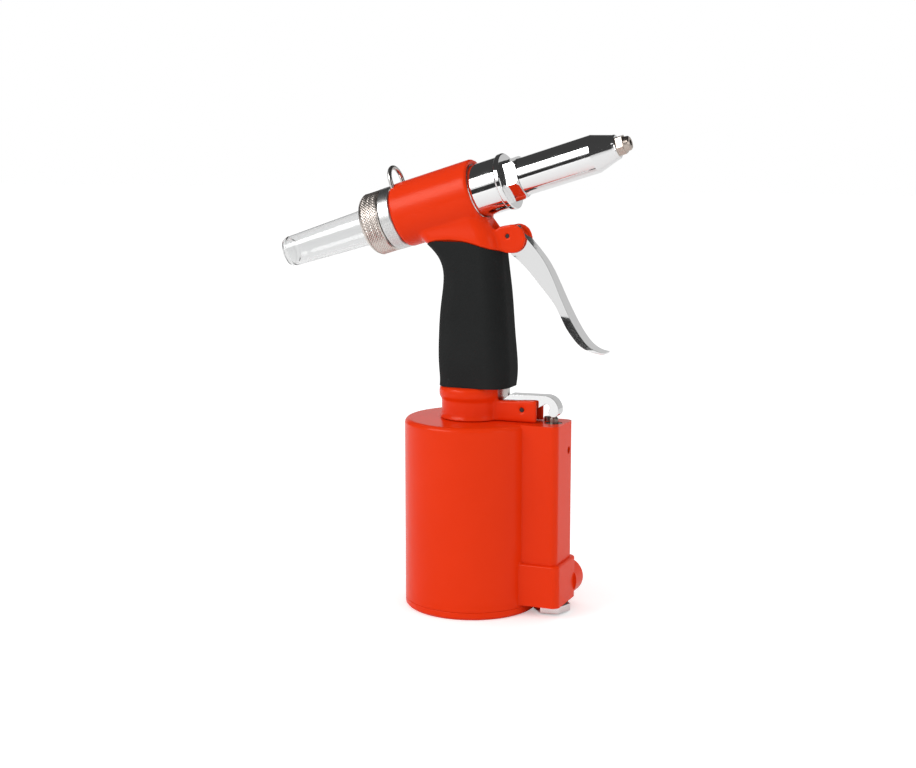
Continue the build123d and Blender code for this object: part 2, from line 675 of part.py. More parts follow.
with BuildPart() as handle_ring_nut:
    nut_top = roof_bottom - press_gap
    upright_round(nut_top - ring_nut_height, nut_top, ring_nut_radius, spigot_radius)
    with Locations(Plane.XY.offset(nut_top - ring_nut_height)):
        with PolarLocations(ring_nut_radius, 6):
            Box(ring_nut_notch[0], ring_nut_notch[1], ring_nut_notch[1], mode=Mode.SUBTRACT)
handle_ring_nut.part.label = "handle_ring_nut"
export_step(handle_ring_nut.part, "parts/handle_ring_nut.step")

ram_seal_top = ram_gland_top - 2.4
ram_seal_bottom = ram_gland_top - 6.0
with BuildPart() as ram_gland:
    upright_round(gland_bottom, ram_gland_top - link_slack, ram_gland_radius - press_gap,
                  ram_radius + running_gap)
    upright_round(ram_seal_bottom, ram_seal_top, ram_radius + 2.2, mode=Mode.SUBTRACT)
ram_gland.part.label = "ram_gland"
export_step(ram_gland.part, "parts/ram_gland.step")

with BuildPart() as ram_seal:
    seal_ring((ram_radius + 1.13, (ram_seal_bottom + ram_seal_top) / 2), side, Axis.Z, 1.05, 1.7)
ram_seal.part.label = "ram_seal"
export_step(ram_seal.part, "parts/ram_seal.step")

# Head: gland, washer, lock nut, nose housing and nosepiece
with BuildPart() as front_gland:
    thread = barrel_bore - running_gap
    rod_hole = rod_radius + running_gap
    nose_hole = nose_thread_outer + running_gap
    gland_shoulder = barrel_front - 0.4
    turn([(gland_rear, rod_hole), (nose_rear - 0.4, rod_hole), (nose_rear - 0.4, nose_hole),
          (gland_front, nose_hole), (gland_front, gland_radius - edge_break),
          (gland_front - edge_break, gland_radius), (gland_shoulder, gland_radius), (gland_shoulder, thread),
          (1.6, thread), (1.6, thread - 2), (-0.9, thread - 2), (-0.9, thread), (gland_rear, thread)],
         head_side, head_axis)
    head_round(2.5, 6.1, rod_radius + 2.2, mode=Mode.SUBTRACT)
front_gland.part.label = "front_gland"
export_step(front_gland.part, "parts/front_gland.step")

with BuildPart() as gland_seals:
    seal_ring((0.35, barrel_bore - 1.05), head_side, head_axis, 1.15, 0.95)
    seal_ring((4.3, rod_radius + 1.13), head_side, head_axis, 1.7, 1.05)
gland_seals.part.label = "gland_seals"
export_step(gland_seals.part, "parts/gland_seals.step")

with BuildPart() as nose_washer:
    washer_rear = gland_front + press_gap
    washer_hole = nose_thread_outer + 2 * running_gap
    turn([(washer_rear, washer_hole), (washer_front, washer_hole), (washer_front, washer_radius - edge_break),
          (washer_front - edge_break, washer_radius), (washer_rear + edge_break, washer_radius),
          (washer_rear, washer_radius - edge_break)], head_side, head_axis)
nose_washer.part.label = "nose_washer"
export_step(nose_washer.part, "parts/nose_washer.step")

lock_nut_plane = Plane(origin=head_station(washer_front + press_gap),
                       x_dir=(0, -1, 0), z_dir=head_axis.direction)
with BuildPart() as lock_nut:
    with BuildSketch(lock_nut_plane) as hexagon:
        RegularPolygon(radius=lock_nut_flats / 2, side_count=6, major_radius=False, rotation=15)
        Circle(nose_hole, mode=Mode.SUBTRACT)
    extrude(hexagon.sketch, amount=lock_nut_length - press_gap)
    corner_radius = lock_nut_flats / math.sqrt(3)
    crown = [(washer_front - 1, 0), (washer_front - 1, corner_radius - 0.7),
             (washer_front + 0.1, corner_radius - 0.7), (washer_front + 1.6, corner_radius + 0.1),
             (lock_nut_front - 1.6, corner_radius + 0.1), (lock_nut_front - 0.1, corner_radius - 0.9),
             (lock_nut_front + 1, corner_radius - 0.9), (lock_nut_front + 1, 0)]
    turn(crown, head_side, head_axis, Mode.INTERSECT)
lock_nut.part.label = "lock_nut"
export_step(lock_nut.part, "parts/lock_nut.step")

with BuildPart() as frame_head:
    turn([(nose_rear, nose_bore), (nosepiece_root + 3, nose_bore), (nosepiece_root + 4, nose_thread_radius),
          (nose_cone_end, nose_thread_radius), (nose_cone_end, nose_cone_radius - edge_break),
          (nose_cone_end - edge_break, nose_cone_radius), (nose_cone_end - 2.0, nose_cone_radius + 0.2),
          (nose_straight_end, nose_radius - 0.2), (nose_straight_end - edge_break, nose_radius),
          (lock_nut_front + edge_break, nose_radius), (lock_nut_front, nose_thread_outer),
          (nose_rear, nose_thread_outer)], head_side, head_axis)
frame_head.part.label = "frame_head"
export_step(frame_head.part, "parts/frame_head.step")

nosepiece_plane = Plane(origin=head_station(nose_cone_end + press_gap),
                        x_dir=(0, -1, 0), z_dir=head_axis.direction)
with BuildPart() as nosepiece:
    with BuildSketch(nosepiece_plane) as hexagon:
        RegularPolygon(radius=nosepiece_flats / 2, side_count=6, major_radius=False, rotation=12)
    extrude(hexagon.sketch, amount=nosepiece_hex_length)
    hex_front = nose_cone_end + nosepiece_hex_length
    thread = nose_thread_radius - press_gap
    turn([(nosepiece_root, 0), (nosepiece_root + 2, 3.2), (nosepiece_root + 5.5, 3.2),
          (nosepiece_root + 5.5, thread), (nose_cone_end + 2 * press_gap, thread), (hex_front, 5.0),
          (hex_front + 0.4, 4.6), (nosepiece_end - 0.8, 4.3), (nosepiece_end, 3.5), (nosepiece_end, 0)],
         head_side, head_axis)
    head_round(nosepiece_root - 1, nosepiece_end + 1, mandrel_radius, mode=Mode.SUBTRACT)
nosepiece.part.label = "nosepiece"
export_step(nosepiece.part, "parts/nosepiece.step")

# Pulling unit: head piston with its rod, jaw case, jaws, pusher and spring
piston_rear = head_piston_front - head_piston_length
with BuildPart() as head_piston:
    wall = barrel_bore - running_gap
    middle = head_piston_front - head_piston_length / 2
    groove_rear = middle - piston_groove_width / 2
    groove_front = middle + piston_groove_width / 2
    rod_end = jaw_case_rear + jaw_thread_length
    turn([(piston_rear, rod_bore), (rod_end, rod_bore), (rod_end, jaw_thread), (jaw_case_rear, jaw_thread),
          (jaw_case_rear, rod_radius), (head_piston_front, rod_radius), (head_piston_front, wall),
          (groove_front, wall), (groove_front, wall - piston_groove_depth),
          (groove_rear, wall - piston_groove_depth), (groove_rear, wall), (piston_rear, wall)],
         head_side, head_axis)
head_piston.part.label = "head_piston"
export_step(head_piston.part, "parts/head_piston.step")

with BuildPart() as head_piston_seal:
    seal_ring((middle, barrel_bore - piston_groove_depth / 2), head_side, head_axis, 1.9, 1.45)
head_piston_seal.part.label = "head_piston_seal"
export_step(head_piston_seal.part, "parts/head_piston_seal.step")

with BuildPart() as jaw_case:
    case_wall = nose_bore - running_gap
    case_bore = jaw_thread + press_gap
    jaw_cone_front = jaw_case_front - 2
    turn([(jaw_case_rear + press_gap, case_bore), (jaw_cone_rear, case_bore),
          (jaw_cone_front, jaw_mouth_radius), (jaw_case_front, jaw_mouth_radius),
          (jaw_case_front, case_wall - 1.5), (jaw_case_front - 1.5, case_wall),
          (jaw_case_rear + press_gap, case_wall)], head_side, head_axis)
jaw_case.part.label = "jaw_case"
export_step(jaw_case.part, "parts/jaw_case.step")

with BuildPart() as jaws:
    jaws_rear = pusher_front + 0.1
    jaws_outer = case_bore - 0.26
    cone_slope = (case_bore - jaw_mouth_radius) / (jaw_cone_front - jaw_cone_rear)
    jaws_tip = jaw_mouth_radius + cone_slope * (jaw_cone_front - jaws_front) - jaw_case_gap
    turn([(jaws_rear, 0), (jaws_rear, jaws_outer), (jaw_cone_rear + 0.1, jaws_outer),
          (jaws_front, jaws_tip), (jaws_front, 0)], head_side, head_axis)
    head_round(jaws_rear - 1, jaws_front + 1, mandrel_radius + 0.1, mode=Mode.SUBTRACT)
    with BuildSketch(head_side) as gap:
        with Locations(((jaws_rear + jaws_front) / 2, 10)):
            Rectangle(20, 20)
    wedge = extrude(gap.sketch, amount=jaw_gap, both=True, mode=Mode.PRIVATE)
    for angle in (0, 120, 240):
        add(wedge.rotate(head_axis, angle), mode=Mode.SUBTRACT)
jaws.part.label = "jaws"
export_step(jaws.part, "parts/jaws.step")

with BuildPart() as jaw_pusher:
    pusher_stem = jaw_spring_radius - jaw_spring_wire - pusher_spring_gap
    pusher_bore = (mandrel_radius + pusher_stem) / 2
    pusher_rim = jaws_outer - 0.05
    turn([(pusher_rear, pusher_bore), (pusher_front, pusher_bore), (pusher_front, pusher_rim),
          (pusher_flange, pusher_rim), (pusher_flange, pusher_stem), (pusher_rear, pusher_stem)],
         head_side, head_axis)
jaw_pusher.part.label = "jaw_pusher"
export_step(jaw_pusher.part, "parts/jaw_pusher.step")

with BuildPart() as jaw_spring:
    spring(head_station(rod_end + 0.1), head_along, pusher_flange - rod_end - 0.2, jaw_spring_radius,
           jaw_spring_wire, 4)
jaw_spring.part.label = "jaw_spring"
export_step(jaw_spring.part, "parts/jaw_spring.step")

with BuildPart() as return_spring:
    spring(head_station(barrel_rear + 0.1), head_along, piston_rear - barrel_rear - 0.2, return_spring_radius,
           return_spring_wire, 5)
return_spring.part.label = "return_spring"
export_step(return_spring.part, "parts/return_spring.step")

# Rear end: cap, guide tube, knurled ring, bottle and hanger
socket = barrel_bore - 3.0
with BuildPart() as end_cap:
    thread = barrel_bore - running_gap
    cap_front = barrel_rear - seam_gap
    seal_front = end_cap_rear - 4.0
    seal_rear = end_cap_rear - 6.2
    tube_hole = guide_tube_radius + press_gap
    turn([(barrel_rear + 6, socket + 1.5), (barrel_rear + 6, thread), (cap_front, thread),
          (cap_front, end_cap_radius - edge_break), (cap_front - edge_break, end_cap_radius),
          (end_cap_rear + edge_break, end_cap_radius), (end_cap_rear, end_cap_radius - edge_break),
          (end_cap_rear, socket), (seal_front, socket), (seal_front, socket - 1.6),
          (seal_rear, socket - 1.6), (seal_rear, socket), (end_cap_rear - bottle_seat, socket),
          (end_cap_rear - bottle_seat, socket - 4.5), (end_cap_rear, tube_hole), (barrel_rear, tube_hole),
          (barrel_rear, socket + 1.5)], head_side, head_axis)
end_cap.part.label = "end_cap"
export_step(end_cap.part, "parts/end_cap.step")

with BuildPart() as bottle_seal:
    seal_ring(((seal_front + seal_rear) / 2, socket - 0.8), head_side, head_axis, 1.0, 0.75)
bottle_seal.part.label = "bottle_seal"
export_step(bottle_seal.part, "parts/bottle_seal.step")

with BuildPart() as guide_tube:
    head_round(seal_front, piston_rear + 10, guide_tube_radius, guide_tube_radius - guide_tube_wall)
guide_tube.part.label = "guide_tube"
export_step(guide_tube.part, "parts/guide_tube.step")

ring_shoulder = bottle_ring_rear + 2.6
with BuildPart() as bottle_ring:
    ring_front = end_cap_rear - 0.5
    bottle_hole = bottle_front_radius + press_gap
    turn([(ring_front, socket + running_gap), (ring_front, bottle_ring_radius - edge_break),
          (ring_front - edge_break, bottle_ring_radius), (bottle_ring_rear + 3.4, bottle_ring_radius),
          (bottle_ring_rear + 1.0, bottle_ring_radius - 1.2), (bottle_ring_rear, bottle_ring_radius - 3.4),
          (bottle_ring_rear, bottle_hole), (ring_shoulder, bottle_hole),
          (ring_shoulder, socket + running_gap)],
         head_side, head_axis)
bottle_ring.part.label = "bottle_ring"
export_step(bottle_ring.part, "parts/bottle_ring.step")

with BuildPart() as collector_bottle:
    flange_rear = ring_shoulder + press_gap
    flange_radius = socket - 0.1
    end = bottle_ring_rear - bottle_length
    end_bore = bottle_end_radius - bottle_wall
    mouth = flange_rear + bottle_lip
    turn([(mouth, bottle_front_radius - bottle_wall), (mouth, flange_radius), (flange_rear, flange_radius),
          (flange_rear, bottle_front_radius), (bottle_ring_rear, bottle_front_radius),
          (end + 2.0, bottle_end_radius), (end + 0.6, bottle_end_radius - 0.7),
          (end, bottle_end_radius - 2.2), (end, 0), (end + bottle_floor, 0), (end + bottle_floor, end_bore - 1),
          (end + bottle_floor + 1, end_bore)], head_side, head_axis)
collector_bottle.part.label = "collector_bottle"
export_step(collector_bottle.part, "parts/collector_bottle.step")

# Hanger: a wire bail across the barrel's rear end, its legs set in the barrel's top
hanger_plane = Plane(origin=head_station(hanger_station), x_dir=(0, 1, 0), z_dir=head_along)
with BuildPart() as hanger:
    leg_foot = hanger_seat + press_gap
    leg_top = hanger_top - hanger_wire - hanger_half
    with BuildLine(hanger_plane) as wire:
        Line((-hanger_half, leg_foot), (-hanger_half, leg_top))
        ThreePointArc((-hanger_half, leg_top), (0, leg_top + hanger_half), (hanger_half, leg_top))
        Line((hanger_half, leg_top), (hanger_half, leg_foot))
    with BuildSketch(Plane(origin=wire.line @ 0, z_dir=wire.line % 0)) as section:
        Circle(hanger_wire)
    sweep(section.sketch, path=wire.line)
hanger.part.label = "hanger"
export_step(hanger.part, "parts/hanger.step")

# Trigger: a pressed channel, deep at its pivot and thin at its curled tip
with BuildPart() as trigger:
    front_edge = [(trigger_pivot[0] + x, trigger_pivot[1] + z) for x, z in trigger_front]
    back_edge = [(trigger_pivot[0] + x, trigger_pivot[1] + z) for x, z in trigger_back]
    arm_flank = trigger_hub_radius - 1
    with BuildSketch(side) as outline:
        with BuildLine():
            outer = Spline(*front_edge)
            inner = Spline(*back_edge)
            Line(outer @ 1, inner @ 0)
            Line(inner @ 1, outer @ 0)
        make_face()
        with Locations(trigger_pivot):
            Circle(trigger_hub_radius)
        with BuildLine():
            Polyline((rod_upper_x, rod_upper_z - trigger_arm_radius),
                     (rod_upper_x, rod_upper_z + trigger_arm_radius),
                     (trigger_pivot[0], trigger_pivot[1] + arm_flank),
                     (trigger_pivot[0], trigger_pivot[1] - arm_flank), close=True)
        make_face()
        with Locations((rod_upper_x, rod_upper_z)):
            Circle(trigger_arm_radius)
    extrude(outline.sketch, amount=trigger_half_width, both=True)
    with BuildSketch(Plane.YZ) as plan:
        with BuildLine():
            Polyline(*trigger_plan(0.0), close=True)
        make_face()
        fillet(plan.vertices().group_by(Axis.Y)[0], radius=trigger_half_width - 1.5)
    extrude(plan.sketch, amount=8 * through, mode=Mode.INTERSECT)
    # The channel's inside, open toward the grip
    below_tip = trigger_pivot[1] - trigger_tip_drop - 5
    above_hub = trigger_pivot[1] + 2 * fork_radius
    with BuildSketch(side) as hollow:
        with BuildLine():
            shift_x = -0.85 * trigger_sheet
            shift_z = -0.5 * trigger_sheet
            roof = Spline(*[(x + shift_x, z + shift_z) for x, z in front_edge[:-2]])
            Polyline(roof @ 1, (2 * trigger_pivot[0], below_tip), (0, below_tip), (0, above_hub),
                     (trigger_pivot[0] - 2, above_hub), roof @ 0)
        make_face()
    with BuildSketch(Plane.YZ) as inner_plan:
        with BuildLine():
            Polyline(*trigger_plan(trigger_sheet), close=True)
        make_face()
    channel = extrude(hollow.sketch, amount=through, both=True, mode=Mode.PRIVATE)
    channel_width = extrude(inner_plan.sketch, amount=8 * through, mode=Mode.PRIVATE)
    add(channel & channel_width, mode=Mode.SUBTRACT)
    cross_round(*trigger_pivot, pivot_pin_radius + running_gap, through, Mode.SUBTRACT)
    cross_round(rod_upper_x, rod_upper_z, link_pin_radius + press_gap, through, Mode.SUBTRACT)
trigger.part.label = "trigger"
export_step(trigger.part, "parts/trigger.step")

with BuildPart() as trigger_pin:
    cross_round(*trigger_pivot, pivot_pin_radius, fork_half_width - pin_inset)
    chamfer(trigger_pin.edges().filter_by(GeomType.CIRCLE), length=pin_chamfer)
trigger_pin.part.label = "trigger_pin"
export_step(trigger_pin.part, "parts/trigger_pin.step")

with BuildPart() as upper_link_pin:
    cross_round(rod_upper_x, rod_upper_z, link_pin_radius, trigger_hub_half_width - running_gap)
upper_link_pin.part.label = "upper_link_pin"
export_step(upper_link_pin.part, "parts/upper_link_pin.step")

with BuildPart() as pull_rod:
    rod_top = Vector(rod_upper_x, 0, rod_upper_z)
    rod_line = Vector(rod_lower_x, 0, rod_lower_z) - rod_top
    eyes = ((rod_upper_x, rod_upper_z), (rod_lower_x, rod_lower_z))
    with BuildSketch(Plane(origin=rod_top, x_dir=(0, 1, 0), z_dir=rod_line.normalized())) as round_bar:
        Circle(pull_rod_radius)
    extrude(round_bar.sketch, amount=rod_line.length)
    for x, z in eyes:
        cross_round(x, z, pull_rod_eye_radius, pull_rod_thickness / 2)
    side_plate([(rod_lower_x - 2.5, rod_lower_z), (rod_lower_x + 2.5, rod_lower_z),
                (rod_lower_x + 1.9, rod_lower_z + pull_rod_blade),
                (rod_lower_x - 3.1, rod_lower_z + pull_rod_blade)], pull_rod_thickness / 2)
    for x, z in eyes:
        cross_round(x, z, link_pin_radius + link_slack, through, Mode.SUBTRACT)
pull_rod.part.label = "pull_rod"
export_step(pull_rod.part, "parts/pull_rod.step")

# Rocker: a pressed channel bent down onto the valve stem
with BuildPart() as rocker_lever:
    rocker_top = rocker_pin[1] + rocker_rise
    ear_x = rod_lower_x - 3.1
    crown_x = rod_lower_x + 4.5
    heel_x = rocker_foot_x - rocker_foot_radius
    toe_x = rocker_foot_x + rocker_foot_radius
    bend_x = toe_x - rocker_bend
    bend_z = rocker_top + 0.4 - rocker_bend
    diagonal = rocker_bend * math.sin(math.pi / 4)
    belly_z = rocker_pin[1] - 4.9
    with BuildSketch(side) as outline:
        with BuildLine():
            Polyline((bend_x, bend_z + rocker_bend), (crown_x, rocker_top),
                     (rod_lower_x - 1, rocker_top - 4.2), (ear_x, rocker_top - 7.0), (ear_x, rod_lower_z - 2),
                     (rod_lower_x - 1.5, rod_lower_z - 3.2), (rod_lower_x + 3, rod_lower_z - 3.2),
                     (rocker_pin[0] - 3, belly_z),
                     (rocker_pin[0] + 3, belly_z), (rocker_pin[0] + 7.5, rocker_pin[1] + 0.2),
                     (bend_x + 0.5, bend_z + 4.0))
            ThreePointArc((bend_x + 0.5, bend_z + 4.0), (bend_x + 3.1, bend_z + 2.4), (heel_x, rocker_foot_z))
            ThreePointArc((heel_x, rocker_foot_z), (rocker_foot_x, rocker_foot_z - rocker_foot_radius),
                          (toe_x, rocker_foot_z))
            Line((toe_x, rocker_foot_z), (toe_x, bend_z))
            ThreePointArc((toe_x, bend_z), (bend_x + diagonal, bend_z + diagonal),
                          (bend_x, bend_z + rocker_bend))
        make_face()
    extrude(outline.sketch, amount=rocker_half_width, both=True)
    inner_bend = rocker_bend - rocker_sheet
    inner_diagonal = inner_bend * math.sin(math.pi / 4)
    solid_top = rocker_foot_z + 2.6
    hollow_x = bend_x + math.sqrt(inner_bend**2 - (solid_top - bend_z)**2)
    below = rod_lower_z - 10
    with BuildSketch(side) as hollow:
        with BuildLine():
            Polyline((bend_x, bend_z + inner_bend), (crown_x, rocker_top - rocker_sheet),
                     (crown_x, rocker_top + 5), (ear_x - 5, rocker_top + 5), (ear_x - 5, below),
                     (bend_x, below), (bend_x, solid_top), (hollow_x, solid_top))
            ThreePointArc((hollow_x, solid_top), (bend_x + inner_diagonal, bend_z + inner_diagonal),
                          (bend_x, bend_z + inner_bend))
        make_face()
    extrude(hollow.sketch, amount=rocker_half_width - rocker_sheet, both=True, mode=Mode.SUBTRACT)
    cross_round(*rocker_pin, pivot_pin_radius + running_gap, through, Mode.SUBTRACT)
    cross_round(rod_lower_x, rod_lower_z, link_pin_radius + press_gap, through, Mode.SUBTRACT)
rocker_lever.part.label = "rocker_lever"
export_step(rocker_lever.part, "parts/rocker_lever.step")

with BuildPart() as rocker_pivot_pin:
    cross_round(*rocker_pin, pivot_pin_radius, bracket_half_width - pin_inset)
    chamfer(rocker_pivot_pin.edges().filter_by(GeomType.CIRCLE), length=pin_chamfer)
rocker_pivot_pin.part.label = "rocker_pivot_pin"
export_step(rocker_pivot_pin.part, "parts/rocker_pivot_pin.step")

with BuildPart() as lower_link_pin:
    cross_round(rod_lower_x, rod_lower_z, link_pin_radius, rocker_half_width - running_gap)
lower_link_pin.part.label = "lower_link_pin"
export_step(lower_link_pin.part, "parts/lower_link_pin.step")
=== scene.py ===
import json
import math

import bmesh
import bpy
import numpy as np
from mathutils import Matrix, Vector


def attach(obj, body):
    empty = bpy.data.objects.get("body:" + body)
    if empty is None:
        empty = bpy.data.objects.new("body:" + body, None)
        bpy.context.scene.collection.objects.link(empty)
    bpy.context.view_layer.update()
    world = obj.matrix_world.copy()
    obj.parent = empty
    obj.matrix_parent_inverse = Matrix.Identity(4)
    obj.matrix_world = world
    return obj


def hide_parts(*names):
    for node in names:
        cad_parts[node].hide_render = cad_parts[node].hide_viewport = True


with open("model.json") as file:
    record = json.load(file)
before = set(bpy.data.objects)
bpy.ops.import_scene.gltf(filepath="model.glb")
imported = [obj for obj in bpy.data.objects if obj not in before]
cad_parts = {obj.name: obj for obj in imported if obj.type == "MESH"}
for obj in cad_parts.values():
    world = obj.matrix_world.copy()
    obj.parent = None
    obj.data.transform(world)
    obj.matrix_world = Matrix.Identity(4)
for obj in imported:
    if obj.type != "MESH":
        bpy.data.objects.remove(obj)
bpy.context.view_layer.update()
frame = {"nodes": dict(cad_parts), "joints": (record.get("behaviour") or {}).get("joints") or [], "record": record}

# A pneumatic rivet gun, in metres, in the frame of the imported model: +Z up the handle, the nose to +X.
nodes = frame["nodes"]
scene = bpy.context.scene
scene.view_settings.view_transform = "Standard"

# Camera: degrees, metres and millimetres of lens; the target is given beside and above the origin
AZIMUTH, ELEVATION = 23.56, 8.951
DISTANCE = 0.962
LENS, SENSOR = 60.13, 36
TARGET_RIGHT, TARGET_UP = -0.009008, 0.141127

# Strength of the surroundings: as light, in mirror reflections, and as the camera sees them
WORLD_LIGHT = 0.80
WORLD_MIRRORED = 0.05
WORLD_SEEN = 1.0
FLOOR_HALF = 8.0
FLOOR_LIFT = 0.36
HEAD_TARGET = (0, 0, 0.27)
LAMPS = [  # name, place, width, height, watts; all face the head
    ("key", (-0.86, -1.02, 0.95), 1.0, 0.62, 7),
    ("fill", (1.5, -0.55, 0.7), 0.5, 0.9, 2.5),
]
FRONT_PANELS = [  # name, place, target, width, height, brightness
    ("key_card", (-0.86, -1.13, 0.86), HEAD_TARGET, 1.30, 0.85, 4.0),
    ("low_strip", (-0.42, -1.08, 0.031), (0.05, 0, 0.031), 1.2, 0.062, 0.02),
    ("low_card", (-0.60, -1.20, 0.278), (0, 0, 0.278), 1.3, 0.425, 0.85),
]
BACKDROP = ("backdrop", (0.5, 1.8, 0.45), (0.5, 0, 0.45), 6.0, 0.9, 0.6)

# The dark card beside the head: metres from it, degrees turned up about its axis, metres along it
FLAG_REACH = 0.16
FLAG_DEGREES = (-5, 14)
FLAG_STATIONS = (-0.02, 0.12)
FLAG_BRIGHTNESS = 0.03

# The head's axis, from the direction in which the head piston is pulled back
pull = next(joint for joint in frame["joints"] if joint["name"] == "jaw_pull")
ALONG = -np.array(pull["axis"], float)
ACROSS = np.array([0.0, 1.0, 0.0])
UP = np.cross(ALONG, ACROSS)
bore = next(mount for mount in frame["record"]["mounts"] if mount["name"] == "mandrel_bore")
bore_point = np.array(bore["pos_m"], float)
HEAD = bore_point - ALONG * (bore_point[0] / ALONG[0])
BODIES = {name: body for body, names in frame["record"]["behaviour"]["bodies"].items() for name in names}


# ---------------------------------------------------------------- camera, floor and light
def aim(obj, place, target):
    """Puts an object at a place, its -Z toward a target."""
    obj.location = place
    obj.rotation_euler = (Vector(target) - Vector(place)).to_track_quat("-Z", "Y").to_euler()


def add_camera():
    azimuth, elevation = math.radians(AZIMUTH), math.radians(ELEVATION)
    back = Vector((math.sin(azimuth) * math.cos(elevation), -math.cos(azimuth) * math.cos(elevation),
                   math.sin(elevation)))
    right = Vector((math.cos(azimuth), math.sin(azimuth), 0))
    target = right * TARGET_RIGHT + Vector((0, 0, TARGET_UP))
    data = bpy.data.cameras.new("camera")
    data.sensor_width = SENSOR
    data.lens = LENS
    data.clip_start = 0.01
    data.clip_end = 50
    camera = bpy.data.objects.new("camera", data)
    scene.collection.objects.link(camera)
    aim(camera, target + back * DISTANCE, target)
    scene.camera = camera


def add_softbox(name, place, target, width, height, power):
    data = bpy.data.lights.new(name, "AREA")
    data.shape = "RECTANGLE"
    data.size, data.size_y = width, height
    data.energy = power
    light = bpy.data.objects.new(name, data)
    scene.collection.objects.link(light)
    aim(light, place, target)


def add_card(name, corners, brightness):
    """A studio card between four corners that shows only in reflections."""
    mesh = bpy.data.meshes.new(name)
    mesh.from_pydata([tuple(corner) for corner in corners], [], [(0, 1, 2, 3)])
    panel = bpy.data.objects.new(name, mesh)
    scene.collection.objects.link(panel)
    material = bpy.data.materials.new(name)
    material.use_nodes = True
    tree = material.node_tree
    tree.nodes.clear()
    glow = tree.nodes.new("ShaderNodeEmission")
    glow.inputs["Color"].default_value = (brightness, brightness, brightness, 1)
    out = tree.nodes.new("ShaderNodeOutputMaterial")
    tree.links.new(glow.outputs[0], out.inputs[0])
    mesh.materials.append(material)
    panel.visible_camera = False
    panel.visible_diffuse = False
    panel.visible_shadow = False
    panel.visible_transmission = False


def add_panel(name, place, target, width, height, brightness):
    """A rectangular card that faces a target."""
    facing = (Vector(target) - Vector(place)).to_track_quat("-Z", "Y")
    x, y = width / 2, height / 2
    flat = ((-x, -y, 0), (x, -y, 0), (x, y, 0), (-x, y, 0))
    add_card(name, [Vector(place) + facing @ Vector(corner) for corner in flat], brightness)


def add_head_flag():
    """A narrow dark card beside the head, which its polished round pieces show as one dark line. Its two long
    edges run along the head. Each lies where the line of sight goes when it is mirrored along the head's
    axis and turned about it."""
    toward = np.array(scene.camera.location) - HEAD
    toward = toward / np.linalg.norm(toward)
    level = toward - (toward @ ALONG) * ALONG
    length = np.linalg.norm(level)
    above = np.cross(level / length, ALONG)
    if above[2] < 0:
        above = -above
    edges = []
    for degrees in FLAG_DEGREES:
        turned = math.radians(degrees)
        ray = math.cos(turned) * level + math.sin(turned) * length * above - (toward @ ALONG) * ALONG
        edges.append([HEAD + station * ALONG + FLAG_REACH * ray for station in FLAG_STATIONS])
    (low_rear, low_front), (high_rear, high_front) = edges
    add_card("head_flag", (low_rear, low_front, high_front, high_rear), FLAG_BRIGHTNESS)


def add_world():
    """White surroundings: mirror reflections see them nearly black, and the camera sees them pure white."""
    world = bpy.data.worlds.new("studio")
    world.use_nodes = True
    tree = world.node_tree
    background = tree.nodes["Background"]
    background.inputs["Color"].default_value = (1, 1, 1, 1)
    seen = tree.nodes.new("ShaderNodeLightPath")
    reflected = tree.nodes.new("ShaderNodeMath")
    reflected.operation = "SUBTRACT"
    reflected.use_clamp = True
    tree.links.new(seen.outputs["Is Glossy Ray"], reflected.inputs[0])
    tree.links.new(seen.outputs["Is Transmission Ray"], reflected.inputs[1])
    mirrored = tree.nodes.new("ShaderNodeMapRange")
    mirrored.inputs["To Min"].default_value = WORLD_LIGHT
    mirrored.inputs["To Max"].default_value = WORLD_MIRRORED
    tree.links.new(reflected.outputs[0], mirrored.inputs["Value"])
    strength = tree.nodes.new("ShaderNodeMapRange")
    strength.inputs["To Max"].default_value = WORLD_SEEN
    tree.links.new(mirrored.outputs["Result"], strength.inputs["To Min"])
    tree.links.new(seen.outputs["Is Camera Ray"], strength.inputs["Value"])
    tree.links.new(strength.outputs["Result"], background.inputs["Strength"])
    scene.world = world


def add_floor():
    """White paper that takes the shadow, with a little light of its own toward the camera."""
    mesh = bpy.data.meshes.new("floor")
    half = FLOOR_HALF
    corners = [(-half, -half, 0), (half, -half, 0), (half, half, 0), (-half, half, 0)]
    mesh.from_pydata(corners, [], [(0, 1, 2, 3)])
    floor = bpy.data.objects.new("floor", mesh)
    scene.collection.objects.link(floor)
    paper = bpy.data.materials.new("paper")
    paper.use_nodes = True
    sheet = paper.node_tree.nodes["Principled BSDF"]
    sheet.inputs["Base Color"].default_value = (0.93, 0.93, 0.93, 1)
    sheet.inputs["Roughness"].default_value = 0.9
    sheet.inputs["Emission Color"].default_value = (1, 1, 1, 1)
    lit = paper.node_tree.nodes.new("ShaderNodeLightPath")
    lift = paper.node_tree.nodes.new("ShaderNodeMath")
    lift.operation = "MULTIPLY"
    lift.inputs[1].default_value = FLOOR_LIFT
    paper.node_tree.links.new(lit.outputs["Is Camera Ray"], lift.inputs[0])
    paper.node_tree.links.new(lift.outputs[0], sheet.inputs["Emission Strength"])
    mesh.materials.append(paper)


def add_studio():
    """Surroundings, floor, two soft lamps, and bright and dark cards that only reflections see."""
    add_world()
    add_floor()
    for name, place, width, height, power in LAMPS:
        add_softbox(name, place, HEAD_TARGET, width, height, power)
    for panel in FRONT_PANELS:
        add_panel(*panel)
    add_head_flag()
    add_panel(*BACKDROP)


